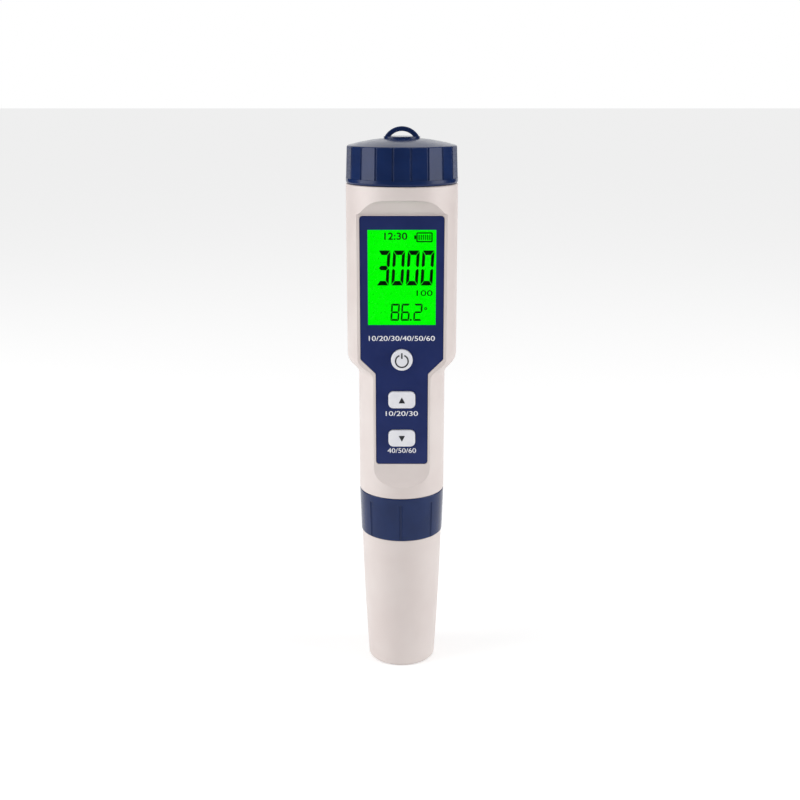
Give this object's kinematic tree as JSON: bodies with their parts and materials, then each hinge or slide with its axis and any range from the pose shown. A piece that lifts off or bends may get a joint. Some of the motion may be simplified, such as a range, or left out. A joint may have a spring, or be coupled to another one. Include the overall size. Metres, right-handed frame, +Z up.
{
  "type": "salinity tester",
  "caption": "Pen-shaped salinity tester with a backlit display, keys, a faceted battery cap with a lanyard loop, a plug-in probe under a screw collar, and a push-on protective cap.",
  "frame": {"origin": "centre of the protective cap's flat foot", "axes": "+Z up along the pen towards the battery cap, -Y out of the display, +X to the right seen from the display's side"},
  "size_m": [0.0382, 0.0382, 0.1937],
  "materials": {
    "housing": "off-white ABS, satin",
    "panel": "dark blue, semi-gloss",
    "blue_cap": "dark blue ABS, glossy",
    "key": "white ABS, glossy",
    "pane": "clear acrylic",
    "lcd": "display glass, lit green",
    "backlight": "light guide, green",
    "white_plastic": "white nylon",
    "black_plastic": "black nylon",
    "adhesive": "foam adhesive",
    "silicone": "black silicone",
    "board": "green glass-epoxy board",
    "chip": "black epoxy",
    "steel": "stainless steel",
    "nickel": "nickel plate",
    "gold": "gold-plated brass",
    "cell": "wrapped steel can",
    "flex": "amber polyimide",
    "glass": "thin clear glass",
    "ceramic": "porous white ceramic",
    "graphite": "graphite",
    "sponge": "open-cell sponge, pale yellow"
  },
  "bodies": {
    "meter": {"housing": "housing", "front_panel": "panel", "panel_adhesive": "adhesive", "display_window": "pane", "display_frame": "white_plastic", "lcd_glass": "lcd", "backlight": "backlight", "zebra_strip": "silicone", "main_board": "board", "controller_chip": "chip", "switch_bodies": "black_plastic", "board_screws": "steel", "chassis": "white_plastic", "battery_left": "cell", "battery_right": "cell", "battery_contact_left": "nickel", "battery_contact_right": "nickel", "cap_neck_seal": "silicone", "probe_socket": "black_plastic", "flex_cable": "flex"},
    "cap_contact": {"cap_contact_plate": "nickel"},
    "battery_cap": {"battery_cap": "blue_cap"},
    "probe": {"probe_body": "black_plastic", "probe_pins": "gold", "glass_bulb": "glass", "reference_junction": "ceramic", "conductivity_electrodes": "graphite", "temperature_sensor": "steel", "probe_seal": "silicone", "probe_cap_seal": "silicone"},
    "collar": {"probe_collar": "blue_cap"},
    "protective_cap": {"protective_cap": "housing", "soaking_sponge": "sponge"},
    "power_key": {"power_button": "key", "power_switch_stem": "black_plastic"},
    "up_key": {"up_button": "key", "up_switch_stem": "black_plastic"},
    "down_key": {"down_button": "key", "down_switch_stem": "black_plastic"}
  },
  "joints": [
    {"name": "cap_lift", "type": "slide", "parent": "meter", "child": "cap_contact", "axis": [0, 0, 1], "range_m": [0, 0.009]},
    {"name": "cap_turn", "type": "hinge", "parent": "cap_contact", "child": "battery_cap", "pos_m": [0, 0, 0.1826], "axis": [0, 0, 1], "range_deg": [0, 1080]},
    {"name": "probe_draw", "type": "slide", "parent": "meter", "child": "probe", "axis": [0, 0, -1], "range_m": [0, 0.009]},
    {"name": "collar_turn", "type": "hinge", "parent": "probe", "child": "collar", "pos_m": [0, 0, 0.055], "axis": [0, 0, -1], "range_deg": [0, 1080]},
    {"name": "protective_cap_pull", "type": "slide", "parent": "probe", "child": "protective_cap", "axis": [0, 0, -1], "range_m": [0, 0.055]},
    {"name": "power_press", "type": "slide", "parent": "meter", "child": "power_key", "axis": [0, 1, 0], "range_m": [0, 0.0004], "stiffness_N_per_m": 3000},
    {"name": "up_press", "type": "slide", "parent": "meter", "child": "up_key", "axis": [0, 1, 0], "range_m": [0, 0.0004], "stiffness_N_per_m": 3000},
    {"name": "down_press", "type": "slide", "parent": "meter", "child": "down_key", "axis": [0, 1, 0], "range_m": [0, 0.0004], "stiffness_N_per_m": 3000}
  ],
  "couplings": [
    {"joint": "cap_turn", "follows": "cap_lift", "rad_per_m": 2094.4},
    {"joint": "collar_turn", "follows": "probe_draw", "rad_per_m": 2094.4}
  ]
}
